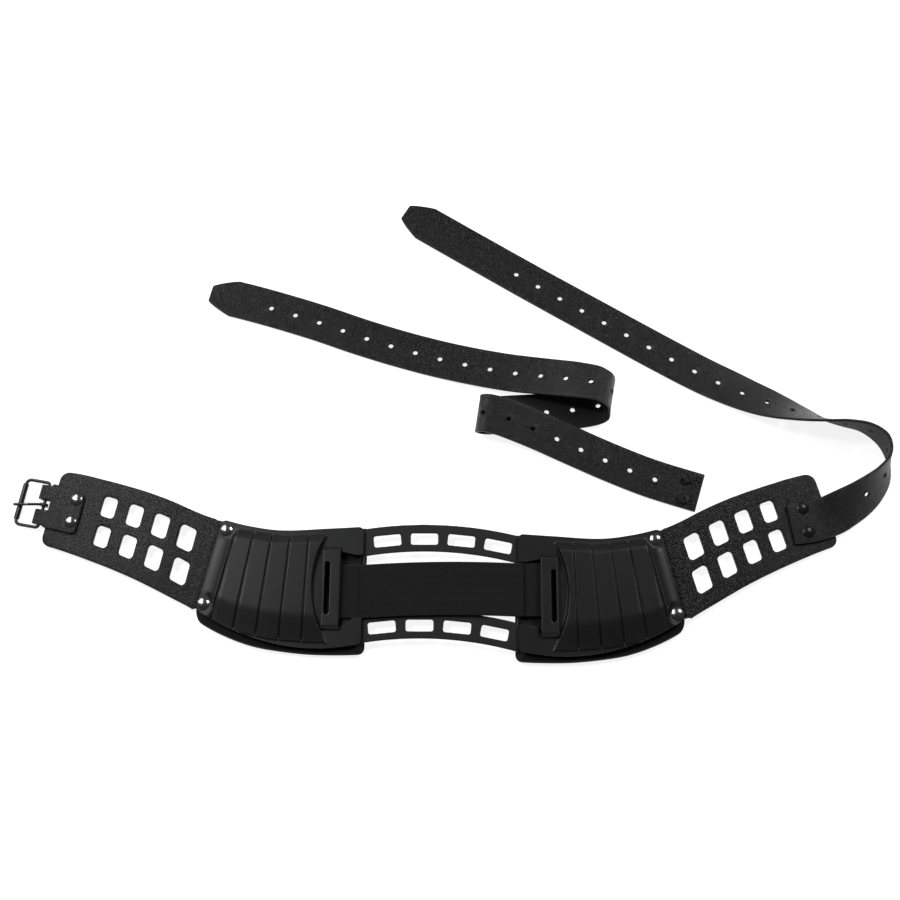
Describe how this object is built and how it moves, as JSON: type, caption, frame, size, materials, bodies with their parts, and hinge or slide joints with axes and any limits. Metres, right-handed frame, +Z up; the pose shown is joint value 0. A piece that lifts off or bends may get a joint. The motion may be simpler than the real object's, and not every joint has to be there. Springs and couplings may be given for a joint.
{
  "type": "padded waist belt",
  "caption": "Padded waist belt lying open: ribbed back plates on a flexible frame, perforated side wings, roller buckle, riveted strap and a loose extension strap.",
  "frame": {"origin": "middle of the webbing bay between the two back plates, on the plane the pads rest on", "axes": "+X along the belt towards the end with the long strap, +Y towards the belt's upper edge, +Z up, away from the wearer"},
  "size_m": [0.8398, 0.4701, 0.0394],
  "materials": {
    "shell_plastic": "satin moulded",
    "frame_plastic": "fine grain",
    "webbing": "woven",
    "plain_steel": "plain",
    "pad_foam": "matte closed-cell",
    "wing_leather": "grained, waxed",
    "strap_leather": "grained, waxed",
    "nickel": "polished nickel",
    "black_hardware": "black lacquer",
    "buckle_steel": "black lacquer, worn bright"
  },
  "bodies": {
    "middle": {"centre_frame": "frame_plastic", "webbing": "webbing"},
    "left_back": {"left_rib_plate": "shell_plastic", "left_slot_bar": "shell_plastic", "left_webbing_pin": "plain_steel", "left_webbing_loop": "webbing", "left_frame_tabs": "shell_plastic", "left_frame_screws": "plain_steel", "left_back_pad": "pad_foam", "left_wing_root": "wing_leather", "left_plate_rivets": "nickel", "left_plate_rivet_caps": "plain_steel"},
    "right_back": {"right_rib_plate": "shell_plastic", "right_slot_bar": "shell_plastic", "right_webbing_pin": "plain_steel", "right_webbing_loop": "webbing", "right_frame_tabs": "shell_plastic", "right_frame_screws": "plain_steel", "right_back_pad": "pad_foam", "right_wing_root": "wing_leather", "right_plate_rivets": "nickel", "right_plate_rivet_caps": "plain_steel"},
    "left_side": {"left_wing": "wing_leather", "buckle_chape": "strap_leather", "chape_rivets": "nickel", "chape_rivet_caps": "plain_steel"},
    "right_side": {"right_wing": "wing_leather", "long_strap": "strap_leather", "long_strap_rivets": "black_hardware", "long_strap_rivet_caps": "plain_steel"},
    "buckle_loop": {"buckle_frame": "buckle_steel"},
    "roller": {"buckle_roller": "buckle_steel"},
    "tongue": {"buckle_tongue": "buckle_steel"},
    "loose_strap": {"extension_strap": "strap_leather", "extension_screw_posts": "black_hardware", "extension_screws": "black_hardware"}
  },
  "joints": [
    {"name": "left_plate_flex", "type": "hinge", "parent": "middle", "child": "left_back", "pos_m": [-0.0736, 0.0034, 0.00925], "axis": [-0.0082, -1, 0], "range_deg": [-8, 30], "stiffness_Nm_per_rad": 2},
    {"name": "left_wing_flex", "type": "hinge", "parent": "left_back", "child": "left_side", "pos_m": [-0.21746, 0.021, 0.0096], "axis": [-0.2291, -0.9734, 0], "range_deg": [-10, 45], "stiffness_Nm_per_rad": 0.5},
    {"name": "right_plate_flex", "type": "hinge", "parent": "middle", "child": "right_back", "pos_m": [0.0736, -0.0034, 0.00925], "axis": [0.0082, 1, 0], "range_deg": [-8, 30], "stiffness_Nm_per_rad": 2},
    {"name": "right_wing_flex", "type": "hinge", "parent": "right_back", "child": "right_side", "pos_m": [0.21773, 0.01184, 0.0096], "axis": [-0.2131, 0.977, 0], "range_deg": [-10, 45], "stiffness_Nm_per_rad": 0.5},
    {"name": "buckle_swing", "type": "hinge", "parent": "left_side", "child": "buckle_loop", "pos_m": [-0.37801, 0.07952, 0.00456], "axis": [0.18, 0.9837, -0.0015], "range_deg": [-60, 30]},
    {"name": "roller_spin", "type": "hinge", "parent": "buckle_loop", "child": "roller", "pos_m": [-0.40014, 0.08357, 0.0039], "axis": [0.18, 0.9837, -0.0015], "continuous": true},
    {"name": "tongue_swing", "type": "hinge", "parent": "buckle_loop", "child": "tongue", "pos_m": [-0.37801, 0.07952, 0.00456], "axis": [0.18, 0.9837, -0.0015], "range_deg": [0, 60]},
    {"name": "extension_lift", "type": "slide", "parent": "middle", "child": "loose_strap", "axis": [0, 0, 1], "range_m": [0, 0.12]}
  ]
}
